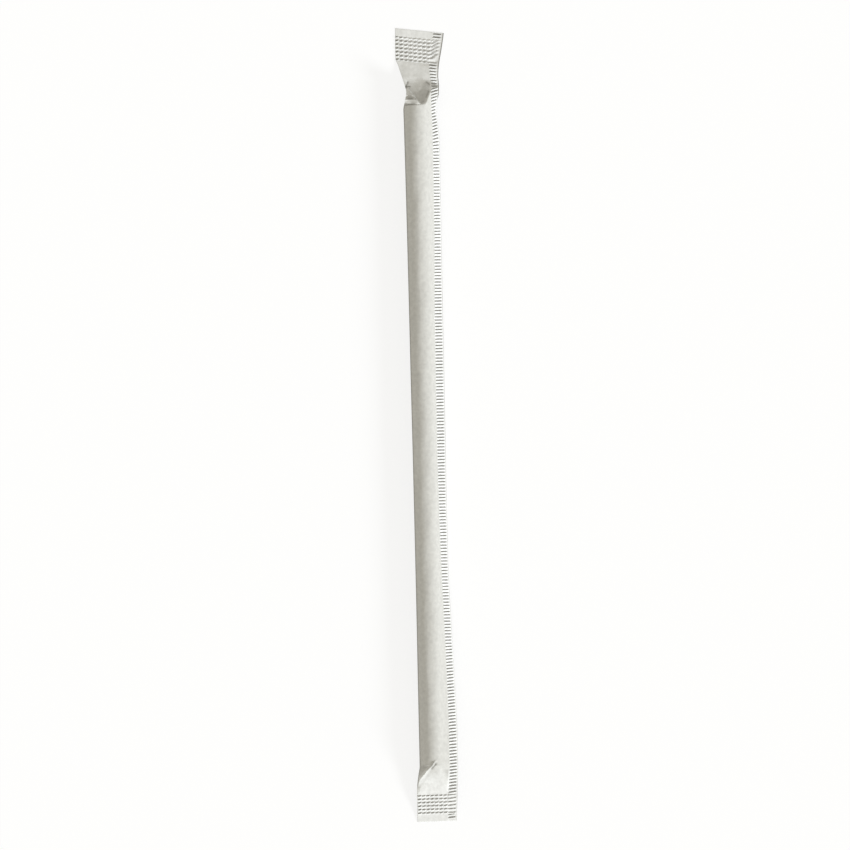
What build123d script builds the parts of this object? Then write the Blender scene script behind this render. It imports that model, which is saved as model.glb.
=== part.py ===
from build123d import *
import os
from math import asin, cos, degrees, pi, radians, sin, tan

# A single drinking straw sealed in a paper wrapper, lying on a flat surface.
# One web of paper is folded lengthwise round the straw. Its two long edges are sealed together
# in a narrow fin, and both ends are pressed flat in a ribbed crimp. The pack can't be seen into,
# so it is one solid of its outer shape. All sizes are in millimetres.
# Y runs along the straw from its foot end to its head end, X across it towards the fin, Z up.
# While it is built, the straw's centre line is over X = 0 and its middle at Y = 0.

# ---- Driving dimensions ----
STRAW_DIAMETER = 7.0
STRAW_LENGTH = 197.0
PAPER = 0.08  # one ply
SLACK = 0.45  # how much wider one ply is than the half of the straw that it covers
FIN_WIDTH = 2.7  # the sealed edge, from its root to its cut edge

TUBE_LIFT = 0.03  # how far the pressed ends hold the tube clear of the surface

CRIMP_ROWS = 6
CRIMP_PITCH = 1.06
CRIMP_RISE = 0.14  # how far each rib stands up
CRIMP_LEAD = 0.2  # plain paper on both sides of the ribs

FOOT_TAPER = 8.6  # from the straw's end to the crimp
FOOT_MARGIN = 1.9  # unpressed paper beyond the crimp
FOOT_DROOP = 20.0  # degrees by which the foot crimp slopes down to the surface
FOOT_TUCK = 2.5  # width lost in the pleat on the fold's side
FOOT_OFFSET = 0.3  # how far the foot crimp sits towards the fold's side

HEAD_TAPER = 12.6
HEAD_MARGIN = 2.8
HEAD_SKEW = 6.0  # degrees by which the head crimp is turned in its own plane
HEAD_GATHER = 1.4  # how much narrower the head crimp is at its inner line
HEAD_OFFSET = 0.7  # how far the head crimp sits towards the fold's side

# The fin along the straw, as (share of the straw's length from the foot, roll, dip). Roll 1 turns
# the paper round the straw until a straight fin's edge would touch the surface. Dip 1 bends the
# fin down about its own root until its edge touches, or until it hangs straight down.
FIN_RUN = [
    (0.0, 0.15, 0.15), (0.13, 0.2, 0.22), (0.22, 0.4, 0.42), (0.3, 0.67, 0.8), (0.45, 1.0, 1.0),
    (0.6, 0.87, 0.75), (0.7, 0.73, 0.65), (0.82, 0.33, 0.44), (0.95, 0.27, 0.5), (1.0, 0.27, 0.5),
]

# How the paper closes beyond each end of the straw, as (share of the taper, share of the way
# from round to flat). It drops over the straw's rim at first and then runs out more gently.
FOOT_CLOSING = [(0.06, 0.12), (0.45, 0.5)]
HEAD_CLOSING = [(0.05, 0.14), (0.2, 0.42), (0.5, 0.7)]

# ---- Sizes that follow ----
RADIUS = STRAW_DIAMETER / 2 + PAPER
PLY_WIDTH = pi * RADIUS + SLACK  # one ply from the fold to the fin's root
FLAT_WIDTH = PLY_WIDTH + FIN_WIDTH  # half the web the paper is cut from
FOOT_Y = -STRAW_LENGTH / 2
HEAD_Y = STRAW_LENGTH / 2
BAND = CRIMP_ROWS * CRIMP_PITCH + 2 * CRIMP_LEAD


def tangent_angle():
    """The angle at which the paper leaves the straw towards the fold and the fin's root."""
    spare = SLACK / (2 * RADIUS)
    low, high = 0.0, 1.4
    for _ in range(60):
        middle = (low + high) / 2
        if tan(middle) - middle < spare:
            low = middle
        else:
            high = middle
    return low


TANGENT = tangent_angle()
PEAK = RADIUS / cos(TANGENT)  # from the centre line to the fold, and to the fin's root
CENTRE_HEIGHT = RADIUS + TUBE_LIFT
TOUCH_ROLL = degrees(asin((CENTRE_HEIGHT - PAPER) / (PEAK + FIN_WIDTH)))


# ---- Outlines: the same eleven points in each, as (across, up) ----
# From the left end of the upper arc, clockwise round the fin and back to the fold.
def round_outline(roll, dip):
    """The paper round the straw, with the fin rolled and dipped by shares as in FIN_RUN."""
    angle = radians(TOUCH_ROLL * roll)
    out = RADIUS * cos(TANGENT)
    up = RADIUS * sin(TANGENT)

    def turn(u, v):
        across = u * cos(angle) + v * sin(angle)
        return (across, CENTRE_HEIGHT - u * sin(angle) + v * cos(angle))

    root_x, root_z = turn(PEAK, 0)
    lean = dip * asin(min(1.0, (root_z - PAPER) / FIN_WIDTH))

    def fin(reach, side):
        x = root_x + reach * cos(lean) + side * PAPER * sin(lean)
        return (x, root_z - reach * sin(lean) + side * PAPER * cos(lean))

    return [
        turn(-out, up), turn(0, RADIUS), turn(out, up), fin(0, 1), fin(FIN_WIDTH, 1),
        fin(FIN_WIDTH, -1), fin(0, -1), turn(out, -up), turn(0, -RADIUS), turn(-out, -up),
        turn(-PEAK, 0),
    ]


def flat_outline(left, width, height, half):
    """The two plies pressed flat, with the given middle height and half thickness."""
    edge = left + width
    root = edge - FIN_WIDTH * width / FLAT_WIDTH
    near_fold = left + 2 * half
    near_root = root - 2 * half
    middle = (left + root) / 2
    top = height + half
    low = height - half
    return [
        (near_fold, top), (middle, top), (near_root, top), (root, top), (edge, top),
        (edge, low), (root, low), (near_root, low), (middle, low), (near_fold, low), (left, height),
    ]


def blend(first, second, share):
    """An outline part of the way from one outline to another."""
    return [(a + (c - a) * share, b + (d - b) * share) for (a, b), (c, d) in zip(first, second)]


def place(outline, y, turn=0.0):
    """An outline as a face standing across the straw at Y, turned about the vertical."""
    def at(i):
        u, v = outline[i]
        return Vector(u * cos(radians(turn)), y - u * sin(radians(turn)), v)

    def bow(i, j, k):
        flat = abs(outline[j][1] - (outline[i][1] + outline[k][1]) / 2) < PAPER / 10
        return Line(at(i), at(k)) if flat else ThreePointArc(at(i), at(j), at(k))

    edges = [bow(0, 1, 2)]
    edges += [Line(at(i), at(i + 1)) for i in range(2, 7)]
    edges.append(bow(7, 8, 9))
    edges += [Line(at(9), at(10)), Line(at(10), at(0))]
    return Face(Wire([edge for part in edges for edge in part.edges()]))


def crimp_profile(margin):
    """The crimp from its inner line outward, as (distance, rise)."""
    profile = [(0.0, 0.0), (CRIMP_LEAD, 0.0)]
    for row in range(CRIMP_ROWS):
        start = CRIMP_LEAD + row * CRIMP_PITCH
        profile.append((start + CRIMP_PITCH / 2, CRIMP_RISE))
        profile.append((start + CRIMP_PITCH, 0.0))
    profile += [(BAND, 0.0), (BAND + margin, 0.0)]
    return profile


# ---- The three lengths of the pack, each a list of faces from the foot to the head ----
def foot_faces():
    """The end that slopes down to the surface, narrowed by a pleat at its fold."""
    slope = radians(FOOT_DROOP)
    length = BAND + FOOT_MARGIN
    half = PAPER / cos(slope)
    width = FLAT_WIDTH - FOOT_TUCK
    left = -(PLY_WIDTH - FOOT_TUCK) / 2 - FOOT_OFFSET
    inner_y = FOOT_Y - FOOT_TAPER
    faces = []
    for distance, rise in crimp_profile(FOOT_MARGIN):
        height = half + (length - distance) * sin(slope) + rise / cos(slope)
        outline = flat_outline(left, width, height, half)
        faces.append(place(outline, inner_y - distance * cos(slope)))
    inner = flat_outline(left, width, half + length * sin(slope), half)
    round_end = round_outline(*FIN_RUN[0][1:])
    for share, closed in FOOT_CLOSING:
        faces.insert(0, place(blend(round_end, inner, closed), FOOT_Y - share * FOOT_TAPER))
    closing = faces[: len(FOOT_CLOSING)]
    pressed = faces[len(FOOT_CLOSING):]
    return pressed[::-1] + closing


def straw_faces():
    return [place(round_outline(roll, dip), FOOT_Y + s * STRAW_LENGTH) for s, roll, dip in FIN_RUN]


def head_faces():
    """The end that is bent down and lies flat on the surface, turned in its own plane."""
    faces = []
    round_end = round_outline(*FIN_RUN[-1][1:])
    fold_x = -PLY_WIDTH / 2 - HEAD_OFFSET
    inner = flat_outline(fold_x + HEAD_GATHER / 2, FLAT_WIDTH - HEAD_GATHER, PAPER, PAPER)
    for share, closed in HEAD_CLOSING:
        outline = blend(round_end, inner, closed)
        faces.append(place(outline, HEAD_Y + share * HEAD_TAPER, closed * HEAD_SKEW))
    length = BAND + HEAD_MARGIN
    for distance, rise in crimp_profile(HEAD_MARGIN):
        gather = HEAD_GATHER * (1 - distance / length)
        left = fold_x + gather / 2
        outline = flat_outline(left, FLAT_WIDTH - gather, PAPER + rise, PAPER)
        shifted = place(outline, HEAD_Y + HEAD_TAPER + distance * cos(radians(HEAD_SKEW)), HEAD_SKEW)
        faces.append(Pos(distance * sin(radians(HEAD_SKEW)), 0, 0) * shifted)
    return faces


def make_wrapped_straw():
    solid = loft([*foot_faces(), *straw_faces(), *head_faces()], ruled=True)
    box = solid.bounding_box()
    return Pos(-box.center().X, -box.center().Y, -box.min.Z) * solid


wrapped_straw = make_wrapped_straw()
os.makedirs("parts", exist_ok=True)
export_step(wrapped_straw, "parts/wrapped_straw.step")
print("size", wrapped_straw.bounding_box().size, "volume", wrapped_straw.volume)
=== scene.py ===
import math
from typing import NamedTuple

import bpy
import numpy as np
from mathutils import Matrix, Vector


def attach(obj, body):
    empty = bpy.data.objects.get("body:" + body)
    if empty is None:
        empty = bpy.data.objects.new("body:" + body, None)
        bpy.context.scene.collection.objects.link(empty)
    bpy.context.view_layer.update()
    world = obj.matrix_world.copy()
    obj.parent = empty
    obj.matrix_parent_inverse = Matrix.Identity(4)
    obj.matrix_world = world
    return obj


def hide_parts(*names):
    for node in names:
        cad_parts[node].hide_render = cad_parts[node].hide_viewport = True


# A drinking straw sealed in a paper wrapper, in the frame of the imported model. Everything below
# is in millimetres until the mesh is made. Y runs along the straw from its foot to its head, X
# across it towards the sealed fin, and Z up from the surface it lies on. In the tables and in
# the functions, x is measured from the straw's centre line.

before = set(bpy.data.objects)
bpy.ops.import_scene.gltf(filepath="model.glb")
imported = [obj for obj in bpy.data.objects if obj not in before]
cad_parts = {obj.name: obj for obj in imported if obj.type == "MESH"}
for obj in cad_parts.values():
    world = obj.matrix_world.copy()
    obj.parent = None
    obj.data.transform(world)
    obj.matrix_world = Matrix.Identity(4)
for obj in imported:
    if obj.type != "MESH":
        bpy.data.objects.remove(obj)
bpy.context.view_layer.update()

# ---- Driving sizes ----
MM = 0.001
AXIS_X = -1.49  # the straw's centre line in the frame
RADIUS = 3.58  # the paper round the straw
CENTRE_Z = 3.61
TUBE_TOP = CENTRE_Z + RADIUS
PAPER = 0.08  # one ply
SURFACE_GAP = 0.01  # the lowest that any point may lie above the surface

FOOT_RIM = -101.5  # the straw's two ends
HEAD_RIM = 95.5
FOOT_LINE = -110.1  # the crimps' inner lines
HEAD_LINE = 108.1
FOOT_LINE_ROOT = (4.45, 2.6)  # x and z of the fin's root at the foot's line
HEAD_LINE_ROOT_X = 4.2
FOOT_END = -118.2  # the wrapper's cut ends
HEAD_END = 117.7
HEAD_SKEW = math.tan(math.radians(7.2))
FOOT_SKEW = math.tan(math.radians(-0.6))

ROW_PITCH_HEAD = 1.12
ROW_PITCH_FOOT = 1.03
CRIMP_DEPTH = 0.24
RIB_RISE = 0.6  # share of a rib's pitch that is its gentle side
KNURL_PITCH = 0.945
KNURL_DEPTH = 0.25
KNURL_START = FOOT_RIM + 1.5

# Faces across each ply, beyond the straw's ends and along its body, and across the fin
TOP_END = 64
TOP_BODY = 32
LOW_END = 32
LOW_BODY = 16
FIN_ACROSS = np.array([0.04, 0.12, 0.27, 0.42, 0.57, 0.70, 0.80, 0.90, 0.955, 1.0])
FIN = len(FIN_ACROSS)
END_STEPS = 7  # stations to one rib beyond the straw's ends
BODY_STEPS = 2  # stations of the tube to one rib along its body
FIN_STEPS = 4  # stations of the fin to one of the tube's along its body

# ---- The folded sheet's outline along the pack ----
# Y, then x and z of the fold, of the fin's root and of its cut edge. The edge rests on the
# surface along the middle.
RUN = np.array([
    (-118.3, -4.95, 0.10, 4.15, 0.10, 6.60, 0.10),
    (-116.2, -4.98, 0.50, 4.20, 0.52, 6.75, 0.50),
    (-113.0, -4.92, 1.65, 4.30, 1.70, 6.95, 1.62),
    (-110.1, -4.90, 2.60, 4.45, 2.70, 7.10, 2.50),
    (-107.0, -4.75, 3.05, 4.65, 3.40, 7.25, 2.80),
    (-104.3, -4.38, 3.60, 4.85, 3.75, 7.35, 2.80),
    (-101.5, -3.93, 4.15, 4.95, 3.75, 7.45, 2.60),
    (-92.0, -3.90, 4.30, 5.00, 3.35, 7.50, 2.10),
    (-75.0, -3.84, 4.50, 4.78, 2.85, 7.05, 1.30),
    (-59.0, -3.76, 4.80, 4.42, 2.40, 6.55, 0.75),
    (-42.0, -3.71, 5.20, 3.97, 2.05, 6.05, 0.30),
    (-25.0, -3.68, 5.50, 3.75, 1.75, 6.04, 0.15),
    (-9.0, -3.66, 5.70, 3.66, 1.60, 6.15, 0.15),
    (16.0, -3.69, 5.60, 3.80, 1.75, 6.28, 0.30),
    (33.0, -3.68, 5.30, 3.92, 2.00, 6.36, 0.50),
    (58.0, -3.70, 4.90, 4.42, 2.50, 6.50, 0.65),
    (83.0, -3.77, 4.60, 4.62, 2.80, 6.62, 0.95),
    (90.0, -3.80, 4.50, 4.60, 2.95, 6.22, 1.20),
    (94.0, -3.84, 4.30, 4.45, 3.10, 5.80, 1.60),
    (96.5, -3.35, 4.00, 4.45, 3.60, 6.25, 2.60),
    (99.3, -2.85, 3.20, 4.60, 3.75, 6.80, 3.05),
    (100.7, -3.12, 2.65, 4.62, 3.45, 6.85, 2.85),
    (101.2, -3.25, 2.45, 4.62, 2.05, 6.85, 1.20),
    (104.5, -4.35, 1.20, 4.30, 1.35, 6.70, 0.55),
    (107.0, -5.20, 0.50, 4.12, 0.75, 6.90, 0.32),
    (108.6, -5.80, 0.16, 4.20, 0.16, 7.15, 0.16),
    (112.0, -5.80, 0.12, 4.62, 0.12, 7.80, 0.12),
    (116.0, -5.68, 0.12, 5.40, 0.12, 8.50, 0.12),
    (118.2, -5.62, 0.14, 5.75, 0.14, 8.82, 0.12),
])
FOLD_X, FOLD_Z, ROOT_X, ROOT_Z, EDGE_X, EDGE_Z = range(1, 7)

# Height of the upper ply over the middle, from the straw's head rim to the crimp line
HEAD_FALL = np.array([
    (HEAD_RIM, TUBE_TOP), (96.2, 6.15), (97.2, 4.80), (98.4, 3.85), (100.0, 3.35),
    (101.0, 2.85), (102.0, 2.15), (103.0, 1.60), (104.0, 1.20), (106.0, 0.70), (HEAD_LINE, 0.30),
])

# The crest of the foot's ridge, as Y, x and z
CREST = np.array([
    (-107.6, -4.75, 3.10), (-105.7, -4.10, 4.30), (-104.55, -3.36, 5.10), (-103.4, -2.47, 5.85),
    (-102.3, -1.57, 6.60), (FOOT_RIM, -0.60, 7.14), (-100.2, 0.90, 7.10),
])

# ---- Dents and creases of the upper ply ----
# Height of the crumpled shelf beside the straw's head rim, along the straw
SHELF = np.array([
    (95.40, 0.0), (95.56, -0.22), (95.82, 0.45), (97.05, 2.15), (97.40, 1.35), (98.40, 2.15),
    (98.8, 1.60), (99.6, 1.50), (100.4, 0.70), (101.6, 0.0),
])
SHELF_EDGE = (-2.04, 100.5, 0.55, 96.9)  # x and Y of two points on its side
SHELF_CURL = 0.25  # how sharply its far side curls up towards the fold

# The hollow beside the fin, as Y and its left and right sides
HOLLOW = np.array([
    (95.7, 1.1, 1.7), (96.5, 0.7, 2.7), (97.2, 0.45, 3.0), (98.0, 0.45, 3.3),
    (99.1, 0.6, 4.0), (100.3, 1.5, 3.95), (101.0, 1.8, 4.2), (102.2, 2.3, 4.2),
])
HOLLOW_DEPTH = 0.35

SLOPE_SINK = 0.9  # how far the slope between the shelf and the fin sinks
# painted shade in the hollow beside the fin
HOLLOW_SHADE = 0.2
LEE_SHADE = 0.30  # painted shade behind the foot's ridge, on its side away from the light
FOLD_SHADE = 0.8  # painted shade beside the fold
RIM_STEP = 0.06  # the paper's drop off the straw's foot rim
EDGE_CURL = 0.16  # the fin's cut edge, along the head


class Crease(NamedTuple):
    """A straight crease in the upper ply."""

    x0: float
    y0: float
    x1: float
    y1: float
    width: float
    rise: float = 0.0  # below 0 for a valley
    # painted shade along the crease
    shade_paint: float = 0.0


HEAD_CREASES = (
    Crease(-3.9, 95.3, -0.2, 95.85, 0.13, shade_paint=0.95),  # a painted shade line along the straw's rim
    Crease(-2.5, 97.35, -0.8, 97.3, 0.20, shade_paint=0.8),  # painted shade under the shelf's lip
    Crease(-2.1, 100.6, 0.4, 96.4, 0.16, rise=0.10, shade_paint=0.45),  # from the shelf to the slope, with painted shade
    Crease(-3.4, 100.9, -1.6, 101.0, 0.18, rise=-0.22, shade_paint=1.0),  # two across at the neck, with painted shade in them
    Crease(-2.3, 102.5, -3.1, 100.2, 0.18, rise=-0.22, shade_paint=1.0),
    Crease(3.0, 97.5, 4.0, 99.6, 0.17, shade_paint=0.7),  # the hollow's three walls, with painted shade along them
    Crease(3.0, 102.3, 4.3, 101.3, 0.22, shade_paint=0.7),
    Crease(1.5, 96.0, 2.5, 96.5, 0.20, shade_paint=0.35),
    Crease(1.6, 97.8, 3.5, 100.6, 0.35, rise=0.07),  # a soft one along its floor
)
FOOT_CREASES = (
    Crease(-3.2, -99.9, -1.7, -101.7, 0.18, rise=0.16),  # the straw's rim, printed through
    # a shallow valley beside the ridge, with a little painted shade
    Crease(-0.4, -102.8, -4.0, -107.6, 0.32, rise=-0.05, shade_paint=0.14),
)
RIDGE = Crease(0.9, -100.2, -4.0, -105.6, 0.21, rise=0.50)
RIDGE_FADE = 0.32  # how much lower the ridge's far end is
# a valley beside the ridge's crest, with painted shade in it
RIDGE_DENT = Crease(1.1, -100.7, -0.6, -102.5, 0.17, rise=-0.40, shade_paint=0.8)
LONG_CREASES = (
    Crease(0.1, 94.0, -0.4, 25.0, 0.60, rise=0.08),
    Crease(-1.7, -66.0, -1.7, -100.5, 0.35, rise=-0.07),
)


# ---- Curves ----
def smooth(x, low, high):
    """0 up to low, 1 from high, and a soft step between."""
    t = np.clip((x - low) / (high - low), 0.0, 1.0)
    return t * t * (3 - 2 * t)


def between(x, low, low_full, high_full, high):
    """1 from low_full to high_full, falling softly to 0 at low and high."""
    return smooth(x, low, low_full) * (1 - smooth(x, high_full, high))


def monotone(xs, ys, at):
    """Smooth interpolation that makes no overshoot."""
    h = np.diff(xs)
    d = np.diff(ys) / h
    m = np.zeros_like(ys)
    m[0] = d[0]
    m[-1] = d[-1]
    for i in range(1, len(xs) - 1):
        if d[i - 1] * d[i] > 0:
            w1 = 2 * h[i] + h[i - 1]
            w2 = h[i] + 2 * h[i - 1]
            m[i] = (w1 + w2) / (w1 / d[i - 1] + w2 / d[i])
    i = np.clip(np.searchsorted(xs, at) - 1, 0, len(xs) - 2)
    t = np.clip((at - xs[i]) / h[i], 0, 1)
    a = ys[i] * (1 + 2 * t) * (1 - t) ** 2 + ys[i + 1] * t * t * (3 - 2 * t)
    return a + h[i] * (m[i] * t * (1 - t) ** 2 + m[i + 1] * t * t * (t - 1))


def run(column, y):
    """One of RUN's columns at Y."""
    return monotone(RUN[:, 0], RUN[:, column], y)


def from_line(x, y, x0, y0, x1, y1):
    """Where points lie along a line, from 0 to 1, and how far off they lie to its right."""
    dx, dy = x1 - x0, y1 - y0
    length = math.hypot(dx, dy)
    along = ((x - x0) * dx + (y - y0) * dy) / length
    off = ((x - x0) * dy - (y - y0) * dx) / length
    return along / length, off


def folded(x, y, line):
    """1 on a crease, falling off sharply to its sides and softly past its ends."""
    along, off = from_line(x, y, line.x0, line.y0, line.x1, line.y1)
    return between(along, -0.15, 0.15, 0.85, 1.15) * np.exp(-np.abs(off) / line.width)


def creased(x, y, lines):
    """The height and the press of several creases."""
    marks = [folded(x, y, line) for line in lines]
    z = sum(line.rise * mark for line, mark in zip(lines, marks))
    return z, sum(line.shade_paint * mark for line, mark in zip(lines, marks))


# ---- Cross-sections: each ply is drawn tight round the fold, the fin's root and what it holds ----
TURNS = np.linspace(0, 2 * math.pi, 97)[:-1]


def ring(x, z, r):
    return list(zip(x + r * np.cos(TURNS), z + r * np.sin(TURNS)))


def foot_cores(y):
    """Beyond the foot rim: two shrinking rings, the ridge's crest and a shoulder by the fin."""
    f = (FOOT_RIM - y) / (FOOT_RIM - FOOT_LINE)
    if f >= 1:
        return []
    line_x, line_z = FOOT_LINE_ROOT
    r = (RADIUS - RIM_STEP * smooth(f, 0.0, 0.1)) * (1 - f)
    z = CENTRE_Z + (line_z - CENTRE_Z) * f
    left = r * (1 - 0.45 * smooth(f, 0.0, 0.45))
    left_ring = ring(min(run(FOLD_X, y) + left + 0.6, 0.0), z, left)
    right_ring = ring(line_x * f, z, r)
    on_crest = y > CREST[0, 0]
    crest = [tuple(np.interp(y, CREST[:, 0], CREST[:, k]) for k in (1, 2))] if on_crest else []
    root_z = run(ROOT_Z, y)
    slope_z = TUBE_TOP - 0.55 * (FOOT_RIM - y)
    lift = 0.85 * max(slope_z - root_z, 0.0) * smooth(f, 0.05, 0.5)
    shoulder = [(run(ROOT_X, y) - 0.3, root_z + lift)]
    return left_ring + right_ring + crest + shoulder


def head_cores(y):
    """Beyond the head rim: two shrinking rings, and at first a shoulder on the fin's side."""
    f = (y - HEAD_RIM) / (HEAD_LINE - HEAD_RIM)
    if f >= 1:
        return []
    r = float(monotone(HEAD_FALL[:, 0], HEAD_FALL[:, 1], y)) / 2
    left_ring = ring(min(run(FOLD_X, y) + r, 0.0), r, r)
    right_ring = ring(min(HEAD_LINE_ROOT_X * f, 4.4 - r), r, r)
    down = (y - HEAD_RIM) / 3.8
    shoulder = [(2.9 + 1.4 * down, 5.71 - 1.75 * down)] if down < 1 else []
    return left_ring + right_ring + shoulder


def cores(y):
    """Points that the paper closes round at Y."""
    if y < FOOT_RIM:
        return foot_cores(y)
    if y > HEAD_RIM:
        return head_cores(y)
    return ring(0.0, CENTRE_Z, RADIUS)


def hull(points, upper):
    """The upper or lower half of a convex outline, from left to right."""
    keep = []
    sign = -1 if upper else 1
    for p in sorted(map(tuple, points)):
        while len(keep) > 1:
            a, b = keep[-2], keep[-1]
            if sign * ((b[0] - a[0]) * (p[1] - a[1]) - (b[1] - a[1]) * (p[0] - a[0])) <= 0:
                keep.pop()
            else:
                break
        keep.append(p)
    return np.array(keep)


def resample(line, count):
    """Evenly spaced points along a line, one more than count."""
    steps = np.hypot(*np.diff(line, axis=0).T)
    length = np.concatenate([[0], np.cumsum(steps)])
    want = np.linspace(0, 1, count + 1) * length[-1]
    return np.stack([np.interp(want, length, line[:, 0]), np.interp(want, length, line[:, 1])], 1)


def ply(y, upper, count):
    """A ply's cross-section at Y, from the fold to the fin's root."""
    fold = (run(FOLD_X, y), run(FOLD_Z, y))
    root = (run(ROOT_X, y), run(ROOT_Z, y))
    line = hull([fold, root] + cores(y), upper)

    def gaps(point):
        return np.hypot(line[:, 0] - point[0], line[:, 1] - point[1])

    line = line[int(np.argmin(gaps(fold))) : int(np.argmin(gaps(root))) + 1]
    if gaps(fold)[0] > 1e-6:
        line = np.vstack([fold, line])
    if gaps(root)[-1] > 1e-6:
        line = np.vstack([line, root])
    return resample(line, count)


# ---- Embossed relief: each gives a height in millimetres, and how much painted shade the paper gets ----
def ribs(phase, rise=RIB_RISE):
    """Ribs one phase apart, from -1 to 1, with painted shade on their steep side, which faces away
    from the light.
    """
    p = np.mod(phase, 1.0)
    height = 2 * np.where(p < rise, p / rise, (1 - p) / (1 - rise)) - 1
    return height, between(p, rise - 0.04, rise + 0.08, 0.90, 1.0)


def knurl(y, across, reach):
    """The fin's ribs: across runs from 0 at its root to 1 at its edge, reach in millimetres."""
    slant = 0.34 * between(y, 80.0, 88.0, 100.6, 101.0) + 0.10 * smooth(-y, 60.0, 75.0)
    height, shade_paint = ribs((y - KNURL_START - slant * reach) / KNURL_PITCH)
    end = 0.84 - 0.10 * smooth(y, 100.0, 102.0)
    inside = between(across, 0.0, 0.06, end - 0.06, end + 0.06) * smooth(y, -117.6, -117.2)
    return KNURL_DEPTH * height * inside, shade_paint * inside


class Band(NamedTuple):
    """A crimped band: rows of short tilted dashes, embossed and darkened with painted shade on
    their steep sides, which run together over the fin.
    """

    low: float  # Y of its two ends
    high: float
    start: float  # Y where a row starts
    pitch: float  # from row to row
    column: float  # from dash to dash
    left: float  # x where a column starts
    dash: float  # half a dash, as a share of its column
    tilt: float  # rise of a row over one column
    zigzag: float  # slope of the rows over the fin
    fade: float  # how much fainter the dashes' painted shade is towards the fin
    fin_shade: float  # how much painted shade the rows get over the fin

    def inside(self, y):
        return between(y, self.low, self.low + 0.22, self.high - 0.22, self.high)

    def plies(self, y, x):
        column = np.mod((x - self.left) / self.column, 1.0) - 0.5
        gap = smooth(np.abs(column), self.dash - 0.08, self.dash + 0.08)
        phase = (y - self.start - self.tilt * column) / self.pitch
        height, shade_paint = ribs(phase, RIB_RISE + 0.28 * gap)
        faint = 1 - self.fade * smooth(x, -4.8, -1.0)
        last_row = 1 - 0.6 * smooth(x, -4.0, -2.0) * smooth(y, 114.5, 114.8)
        mark = faint * last_row * shade_paint**1.5 * (1 - gap) * self.inside(y)
        return CRIMP_DEPTH * height * self.inside(y), mark

    def fin(self, y, reach):
        steep = self.zigzag * smooth(y, self.low + 0.2, self.low + 3.2)
        bent = np.minimum(reach, 1.8) + 0.3 * np.maximum(reach - 1.8, 0)
        height, shade_paint = ribs((y - self.start - steep * bent) / self.pitch)
        gap = smooth(np.abs(np.mod((reach - 0.1) / self.column, 1.0) - 0.5), 0.33, 0.47)
        inside = self.inside(y) * (1 - smooth(reach, 2.1, 2.4))
        return 0.9 * CRIMP_DEPTH * height * inside, self.fin_shade * shade_paint * (1 - 0.8 * gap) * inside


BANDS = (
    Band(
        low=HEAD_LINE, high=115.45, start=107.6, pitch=ROW_PITCH_HEAD, column=1.36, left=-6.04,
        dash=0.32, tilt=0.30, zigzag=0.8, fade=0.45, fin_shade=0.55,
    ),
    Band(
        low=-116.1, high=FOOT_LINE, start=-117.43, pitch=ROW_PITCH_FOOT, column=1.28, left=-4.93,
        dash=0.36, tilt=0.14, zigzag=0.1, fade=0.2, fin_shade=0.85,
    ),
)


def band_at(y):
    return next((band for band in BANDS if band.low < y < band.high), None)


# ---- Dents and creases: each gives a height in millimetres, and how much painted shade the paper gets ----
def head_relief(x, y):
    """The crumpled shelf on the fold's side of the head, and the hollow beside the fin, with
    painted shade in the hollow and the creases.
    """
    _, side = from_line(x, y, *SHELF_EDGE)
    shelf = smooth(side, -0.15, 0.35)
    level = between(y, 95.8, 96.3, 98.8, 100.4)
    z = shelf * np.interp(y, SHELF[:, 0], SHELF[:, 1])
    z += shelf * level * SHELF_CURL * np.clip(-1.0 - x, 0, None) ** 2
    # the slope beside the shelf sinks between the fold and the fin
    from_fold = smooth(x - run(FOLD_X, y), 0.0, 1.2)
    sink = between(y, 95.6, 97.0, 99.8, 104.0) * from_fold * (1 - shelf)
    z -= SLOPE_SINK * sink * np.clip((4.5 - x) / 4.5, 0, 1)
    left = np.interp(y, HOLLOW[:, 0], HOLLOW[:, 1])
    right = np.interp(y, HOLLOW[:, 0], HOLLOW[:, 2])
    hollow = smooth(x - left, -0.6, 0.7) * (1 - smooth(x - right, -0.25, 0.15))
    hollow = hollow * between(y, 95.65, 96.0, 101.5, 102.2)
    z -= HOLLOW_DEPTH * hollow * np.clip((right + 0.2 - x) / (right - left + 0.4), 0, 1)
    rise, shade_paint = creased(x, y, HEAD_CREASES)
    return z + rise, shade_paint + HOLLOW_SHADE * hollow


def foot_relief(x, y):
    """A wandering ridge from the straw's foot rim to the corner, and a dent beside it, with painted
    shade in the dent and on the ridge's shaded side.
    """
    wander = 0.12 * np.sin(2.3 * y) + 0.06 * np.sin(5.1 * y)
    height = RIDGE.rise - RIDGE_FADE * smooth(-y, 103, 106)
    dent, dent_shade_paint = creased(x + wander, y, (RIDGE_DENT,))
    rise, shade_paint = creased(x, y, FOOT_CREASES)
    over = (np.interp(y, CREST[:, 0], CREST[:, 1]) - x) * 0.74
    lee = smooth(over, 0.15, 0.6) * between(-y, 101.0, 102.2, 105.5, 107.5)
    z = height * folded(x + wander, y, RIDGE) + dent + rise
    return z, dent_shade_paint + shade_paint + LEE_SHADE * lee


def loose_relief(x, y):
    """Along the straw the paper lies a little loose, with two long soft creases."""
    z = 0.05 * np.sin(0.17 * y + 0.9 * x) * np.sin(0.043 * y + 1.0)
    z += 0.025 * np.sin(0.39 * y - 1.2 * x + 2.0)
    return z + creased(x, y, LONG_CREASES)[0]


def relief(x, y):
    """All dents and creases of the upper ply, with their painted shade."""
    head, head_shade_paint = head_relief(x, y)
    foot, foot_shade_paint = foot_relief(x, y)
    return head + foot + loose_relief(x, y), np.clip(head_shade_paint + foot_shade_paint, 0, 1)


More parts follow.
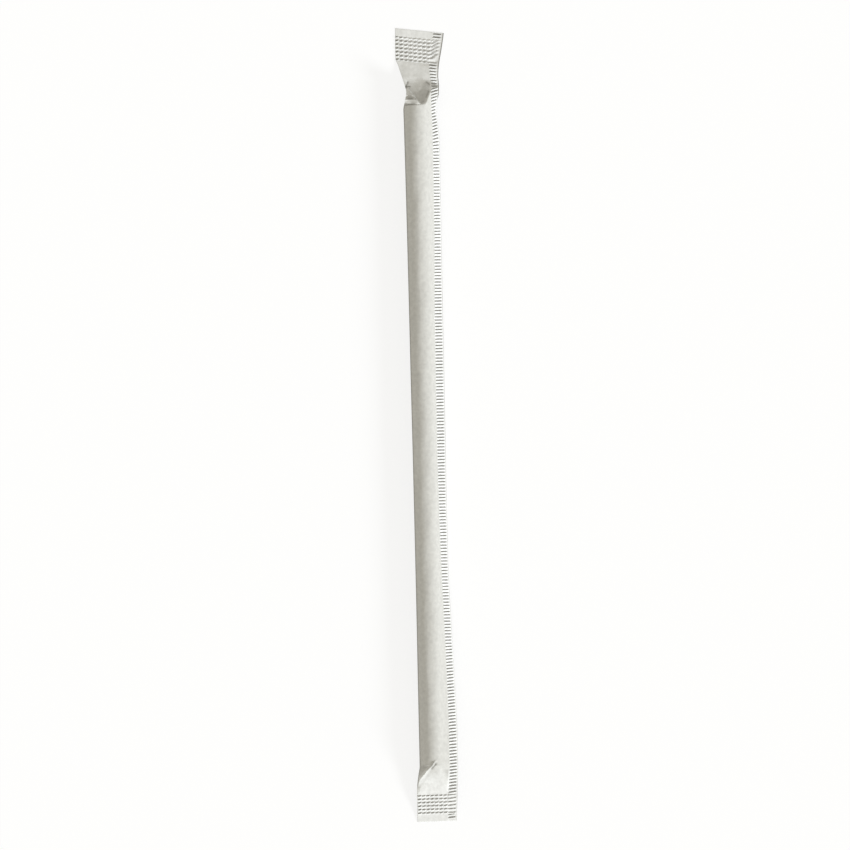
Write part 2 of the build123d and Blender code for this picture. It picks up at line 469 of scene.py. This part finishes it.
# ---- Rows of points, each with how much painted shade the paper gets there ----
def skewed(y, x):
    """Where a point of station Y lies along the pack, because the ends are turned a little."""
    head = smooth(y, HEAD_RIM, HEAD_LINE) * HEAD_SKEW
    foot = smooth(-y, -FOOT_RIM, -FOOT_LINE) * FOOT_SKEW
    return y - x * head - x * foot


def ply_row(y, line, side, dented=False):
    """The outer face of the upper ply, with side 1, or of the lower, with side -1."""
    x = line[:, 0]
    along = skewed(y, x)
    band = band_at(y)
    rise, shade_paint = band.plies(y, x) if band else (np.zeros_like(x), np.zeros_like(x))
    if dented:
        height, dent_shade_paint = relief(x, along)
        rise = rise + height
        shade_paint = np.maximum(shade_paint, dent_shade_paint)
    return np.stack([x, along, line[:, 1] + side * PAPER + rise, shade_paint], 1)


def root_row(y, side):
    """One point of a ply's outer face at the fin's root."""
    return ply_row(y, np.array([[run(ROOT_X, y), run(ROOT_Z, y)]]), side)


def fin_row(y, side):
    """The fin's upper or lower face from root to edge, without its root."""
    root = np.array([run(ROOT_X, y), run(ROOT_Z, y)])
    edge = np.array([run(EDGE_X, y), run(EDGE_Z, y)])
    out = (edge - root) / np.hypot(*(edge - root))
    up = np.array([-out[1], out[0]])
    reach = FIN_ACROSS * (edge[0] - root[0])
    band = band_at(y)
    rise, shade_paint = band.fin(y, reach) if band else knurl(y, FIN_ACROSS, reach)
    # the cut edge curls up along the head
    head = smooth(y, 96.5, 98.5)
    rise = rise + EDGE_CURL * head * smooth(FIN_ACROSS, 0.9, 1.0)
    # painted shade: a dark line along the fin's cut edge, stronger along the head
    cut = smooth(FIN_ACROSS, 0.92, 0.96) * (0.25 + 0.6 * head) * smooth(y, -70, -50)
    line = root + np.outer(FIN_ACROSS, edge - root) + np.outer(rise + side * PAPER, up)
    return np.stack([line[:, 0], skewed(y, line[:, 0]), line[:, 1], np.maximum(shade_paint, cut)], 1)


# ---- The mesh ----
class Mesh:
    def __init__(self):
        self.rows = []
        self.faces = []
        self.count = 0

    def add(self, row):
        """Adds a row of points and gives their numbers."""
        self.rows.append(row)
        start = self.count
        self.count += len(row)
        return list(range(start, self.count))

    def face(self, corners, flip=False):
        self.faces.append(corners[::-1] if flip else corners)

    def strip(self, a, b, flip=False):
        """Faces between two rows, of which one may be a whole number of times finer."""
        n = min(len(a), len(b)) - 1
        ka = (len(a) - 1) // n
        kb = (len(b) - 1) // n
        for i in range(n):
            self.face(a[i * ka : (i + 1) * ka + 1] + b[i * kb : (i + 1) * kb + 1][::-1], flip)


def stations():
    """The tube's stations in step with the fin's ribs, each with whether it is on the body."""
    body = np.arange(KNURL_START, HEAD_RIM - 3.0, KNURL_PITCH / BODY_STEPS)
    step = KNURL_PITCH / END_STEPS
    foot = np.arange(body[0], FOOT_END, -step)[::-1]
    head = np.arange(body[-1], HEAD_END, step)
    foot[0] = FOOT_END
    head[-1] = HEAD_END
    along = [(y, False) for y in foot[:-1]]
    along += [(y, True) for y in body]
    return along + [(y, False) for y in head[1:]]


def add_tube(mesh, along):
    """The rows of both plies, and their faces beyond the body."""
    tops, lows = [], []
    for y, on_body in along:
        top_count, low_count = (TOP_BODY, LOW_BODY) if on_body else (TOP_END, LOW_END)
        tops.append(mesh.add(ply_row(y, ply(y, True, top_count), 1, dented=True)))
        lows.append(mesh.add(ply_row(y, ply(y, False, low_count), -1)))
    for i in range(len(along) - 1):
        if not (along[i][1] and along[i + 1][1]):
            mesh.strip(tops[i], tops[i + 1], flip=True)
            mesh.strip(lows[i], lows[i + 1])
    return tops, lows


def add_fin(mesh, along, tops, lows):
    """The fin, with more stations than the tube along the body.

    Returns its rows, and which of them lies at each of the tube's stations."""
    ups, downs, at_station = [], [], []

    def add_rows(y, root_up, root_low):
        ups.append(root_up + mesh.add(fin_row(y, 1)))
        downs.append(root_low + mesh.add(fin_row(y, -1)))

    for i, (y, on_body) in enumerate(along):
        at_station.append(len(ups))
        add_rows(y, [tops[i][-1]], [lows[i][-1]])
        if i + 1 < len(along) and on_body and along[i + 1][1]:
            for k in range(1, FIN_STEPS):
                middle = y + (along[i + 1][0] - y) * k / FIN_STEPS
                add_rows(middle, mesh.add(root_row(middle, 1)), mesh.add(root_row(middle, -1)))
    for n in range(len(ups) - 1):
        mesh.strip(ups[n], ups[n + 1], flip=True)
        mesh.strip(downs[n], downs[n + 1])
        mesh.face([ups[n][-1], downs[n][-1], downs[n + 1][-1], ups[n + 1][-1]])
    return ups, downs, at_station


def add_body(mesh, along, plies, at_station):
    """The body's faces, whose last column takes in the fin's extra stations."""
    for i in range(len(along) - 1):
        if along[i][1] and along[i + 1][1]:
            for rows, fins, flip in plies:
                a, b = rows[i], rows[i + 1]
                mesh.strip(a[:-1], b[:-1], flip)
                roots = [fins[n][0] for n in range(at_station[i], at_station[i + 1] + 1)]
                mesh.face([a[-2]] + roots + [b[-2]], flip)


def close(mesh, tops, lows, ups, downs):
    """The fold's faces and the two cut ends."""
    for i in range(len(tops) - 1):
        mesh.face([lows[i][0], tops[i][0], tops[i + 1][0], lows[i + 1][0]], flip=True)
    finer = TOP_END // LOW_END
    for end, flip in ((0, False), (-1, True)):
        top, low, up, down = tops[end], lows[end], ups[end], downs[end]
        for k in range(LOW_END):
            mesh.face(top[k * finer : (k + 1) * finer + 1] + [low[k + 1], low[k]], flip)
        for k in range(FIN):
            mesh.face([up[k], up[k + 1], down[k + 1], down[k]], flip)


def straw_tone_and_shade(x, y):
    """A darker tint where the straw shows through the paper. Past the head rim it fades out over
    the neck's hollow as painted shade, it fades out past the foot rim too, and it also darkens the
    paper beside the fin's root at the foot.
    """
    over = between(y, FOOT_RIM - 5.0, FOOT_RIM, HEAD_RIM, HEAD_RIM + 9.0)
    by_root = smooth(x, 1.0, 3.2) * between(y, -109.5, -106.0, FOOT_RIM, FOOT_RIM + 1.0)
    return np.maximum(over, 0.45 * by_root) * (1 - smooth(x - run(ROOT_X, y), -0.1, 0.25))


def fold_shade(x, y):
    """How much painted shade the paper gets beside the fold, where it turns away from the light."""
    fringe = 1 - smooth(x - run(FOLD_X, y), 0.02, 0.40)
    return FOLD_SHADE * fringe * between(y, -109.0, -107.0, 95.0, 96.0)


def build():
    """The wrapper, as one closed mesh with what its paper's tint depends on."""
    mesh = Mesh()
    along = stations()
    tops, lows = add_tube(mesh, along)
    ups, downs, at_station = add_fin(mesh, along, tops, lows)
    add_body(mesh, along, ((tops, ups, True), (lows, downs, False)), at_station)
    close(mesh, tops, lows, ups, downs)
    x, y, z, shade_paint = np.vstack(mesh.rows).T
    shade_paint = np.maximum(shade_paint, fold_shade(x, y))
    points = np.stack([x + AXIS_X, y, np.maximum(z, SURFACE_GAP)], 1)
    data = bpy.data.meshes.new("wrapper")
    data.from_pydata((points * MM).tolist(), [], mesh.faces)
    data.validate()
    data.update()
    for polygon in data.polygons:
        polygon.use_smooth = True
    for name, values in (("straw_tone_and_shade", straw_tone_and_shade(x, y)), ("painted_shade", shade_paint)):
        layer = data.attributes.new(name, "FLOAT", "POINT")
        layer.data.foreach_set("value", values.astype(np.float32))
    return linked("wrapper", data)


def linked(name, data):
    """A new object of the scene."""
    made = bpy.data.objects.new(name, data)
    bpy.context.scene.collection.objects.link(made)
    return made


# ---- Materials ----
def add_node(tree, kind, **settings):
    """A new node, with its properties set."""
    made = tree.nodes.new(kind)
    for name, value in settings.items():
        setattr(made, name, value)
    return made


def add_noise(tree, vector, scale, detail):
    noise = add_node(tree, "ShaderNodeTexNoise")
    noise.inputs["Scale"].default_value = scale
    noise.inputs["Detail"].default_value = detail
    tree.links.new(vector, noise.inputs["Vector"])
    return noise.outputs["Fac"]


def add_bump(tree, height, strength, distance):
    bump = add_node(tree, "ShaderNodeBump")
    bump.inputs["Strength"].default_value = strength
    bump.inputs["Distance"].default_value = distance
    tree.links.new(height, bump.inputs["Height"])
    return bump


def paper_material():
    """White paper, darker over the straw, darkened with painted shade on the ribs' steep sides, in
    the creases and the hollow and along the fold and the fin's edge, and lightly mottled.
    """
    material = bpy.data.materials.new("wrapping_paper")
    material.use_nodes = True
    tree = material.node_tree
    link = tree.links.new
    shader = tree.nodes["Principled BSDF"]
    shader.inputs["Roughness"].default_value = 0.72
    shader.inputs["Specular IOR Level"].default_value = 0.25

    # the fibre and the wrinkles run along the straw, the clouds run no way
    place = add_node(tree, "ShaderNodeTexCoord")
    stretch = add_node(tree, "ShaderNodeMapping")
    stretch.inputs["Scale"].default_value = (1.0, 0.35, 1.0)
    link(place.outputs["Object"], stretch.inputs["Vector"])
    fibre = add_noise(tree, stretch.outputs["Vector"], 2600.0, 4.0)
    wrinkle = add_noise(tree, stretch.outputs["Vector"], 330.0, 3.0)
    cloud = add_noise(tree, place.outputs["Object"], 900.0, 5.0)

    # the darker tint over the straw, which past the head rim is painted shade
    over = add_node(tree, "ShaderNodeAttribute", attribute_name="straw_tone_and_shade")
    tint = add_node(tree, "ShaderNodeMix", data_type="RGBA")
    tint.inputs["A"].default_value = (0.89, 0.895, 0.89, 1)
    tint.inputs["B"].default_value = (0.67, 0.665, 0.64, 1)
    link(over.outputs["Fac"], tint.inputs["Factor"])
    shade_paint = add_node(tree, "ShaderNodeAttribute", attribute_name="painted_shade")
    # painted shade: a dark grey-brown mixed into the paper's tint where the attribute asks for it
    shade_tint = add_node(tree, "ShaderNodeMix", data_type="RGBA")
    shade_tint.inputs["B"].default_value = (0.27, 0.265, 0.245, 1)
    link(shade_paint.outputs["Fac"], shade_tint.inputs["Factor"])
    link(tint.outputs["Result"], shade_tint.inputs["A"])
    mottle = add_node(tree, "ShaderNodeMapRange")
    mottle.inputs["From Min"].default_value = 0.3
    mottle.inputs["From Max"].default_value = 0.7
    mottle.inputs["To Min"].default_value = 0.92
    mottle.inputs["To Max"].default_value = 1.06
    link(cloud, mottle.inputs["Value"])
    shade = add_node(tree, "ShaderNodeVectorMath", operation="SCALE")
    link(shade_tint.outputs["Result"], shade.inputs[0])
    link(mottle.outputs["Result"], shade.inputs["Scale"])
    link(shade.outputs["Vector"], shader.inputs["Base Color"])

    grain = add_node(tree, "ShaderNodeMath", operation="ADD")
    link(fibre, grain.inputs[0])
    link(cloud, grain.inputs[1])
    rough = add_bump(tree, grain.outputs["Value"], 0.25, 0.00003)
    soft = add_bump(tree, wrinkle, 0.35, 0.0005)
    link(rough.outputs["Normal"], soft.inputs["Normal"])
    link(soft.outputs["Normal"], shader.inputs["Normal"])
    return material


def floor_material():
    """A white floor, mostly self-lit for the camera, so that only a soft shadow shows on it."""
    material = bpy.data.materials.new("floor_white")
    material.use_nodes = True
    tree = material.node_tree
    link = tree.links.new
    shader = tree.nodes["Principled BSDF"]
    shader.inputs["Base Color"].default_value = (0.9, 0.9, 0.9, 1)
    shader.inputs["Roughness"].default_value = 0.9
    shader.inputs["Specular IOR Level"].default_value = 0.1
    glow = add_node(tree, "ShaderNodeEmission")
    glow.inputs["Strength"].default_value = 1.08
    seen = add_node(tree, "ShaderNodeLightPath")
    share = add_node(tree, "ShaderNodeMath", operation="MULTIPLY")
    share.inputs[1].default_value = 0.74
    link(seen.outputs["Is Camera Ray"], share.inputs[0])
    mix = add_node(tree, "ShaderNodeMixShader")
    link(share.outputs["Value"], mix.inputs["Fac"])
    link(shader.outputs["BSDF"], mix.inputs[1])
    link(glow.outputs["Emission"], mix.inputs[2])
    link(mix.outputs["Shader"], tree.nodes["Material Output"].inputs["Surface"])
    return material


# ---- Studio ----
FLOOR_HALF = 3.0  # metres, as are the camera's place and scale
SUN_RISE = math.radians(22)
SUN_TURN = math.radians(-40)  # from +X towards the foot
SUN_ANGLE = math.radians(14)
VIEW_WIDTH = 0.2533
VIEW_HEIGHT = 0.8
VIEW_X = -1.27 * MM
VIEW_TURN = math.radians(-1.45)


def floor():
    data = bpy.data.meshes.new("floor")
    s = FLOOR_HALF
    data.from_pydata([(-s, -s, 0), (s, -s, 0), (s, s, 0), (-s, s, 0)], [], [(0, 1, 2, 3)])
    data.materials.append(floor_material())
    linked("floor", data)


def light():
    """A cool low sun across the straw, and a warm dim sky."""
    world = bpy.data.worlds.new("studio")
    bpy.context.scene.world = world
    world.use_nodes = True
    sky = world.node_tree.nodes["Background"]
    sky.inputs["Color"].default_value = (1.0, 0.965, 0.865, 1)
    sky.inputs["Strength"].default_value = 0.55
    lamp = bpy.data.lights.new("key", "SUN")
    lamp.energy = 2.58
    lamp.color = (0.93, 0.965, 1.0)
    lamp.angle = SUN_ANGLE
    way = Vector((
        math.cos(SUN_RISE) * math.cos(SUN_TURN),
        math.cos(SUN_RISE) * math.sin(SUN_TURN),
        math.sin(SUN_RISE),
    ))
    linked("key", lamp).rotation_euler = way.to_track_quat("Z", "Y").to_euler()


def camera():
    """Straight down, as in the photo, without perspective."""
    lens = bpy.data.cameras.new("camera")
    lens.type = "ORTHO"
    lens.ortho_scale = VIEW_WIDTH
    lens.clip_end = 5
    view = linked("camera", lens)
    view.location = (VIEW_X, 0.0, VIEW_HEIGHT)
    view.rotation_euler = (0, 0, VIEW_TURN)
    bpy.context.scene.camera = view


piece = build()
piece.data.materials.append(paper_material())
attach(piece, "root")
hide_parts("wrapped_straw")
floor()
light()
camera()
bpy.context.scene.view_settings.view_transform = "Standard"
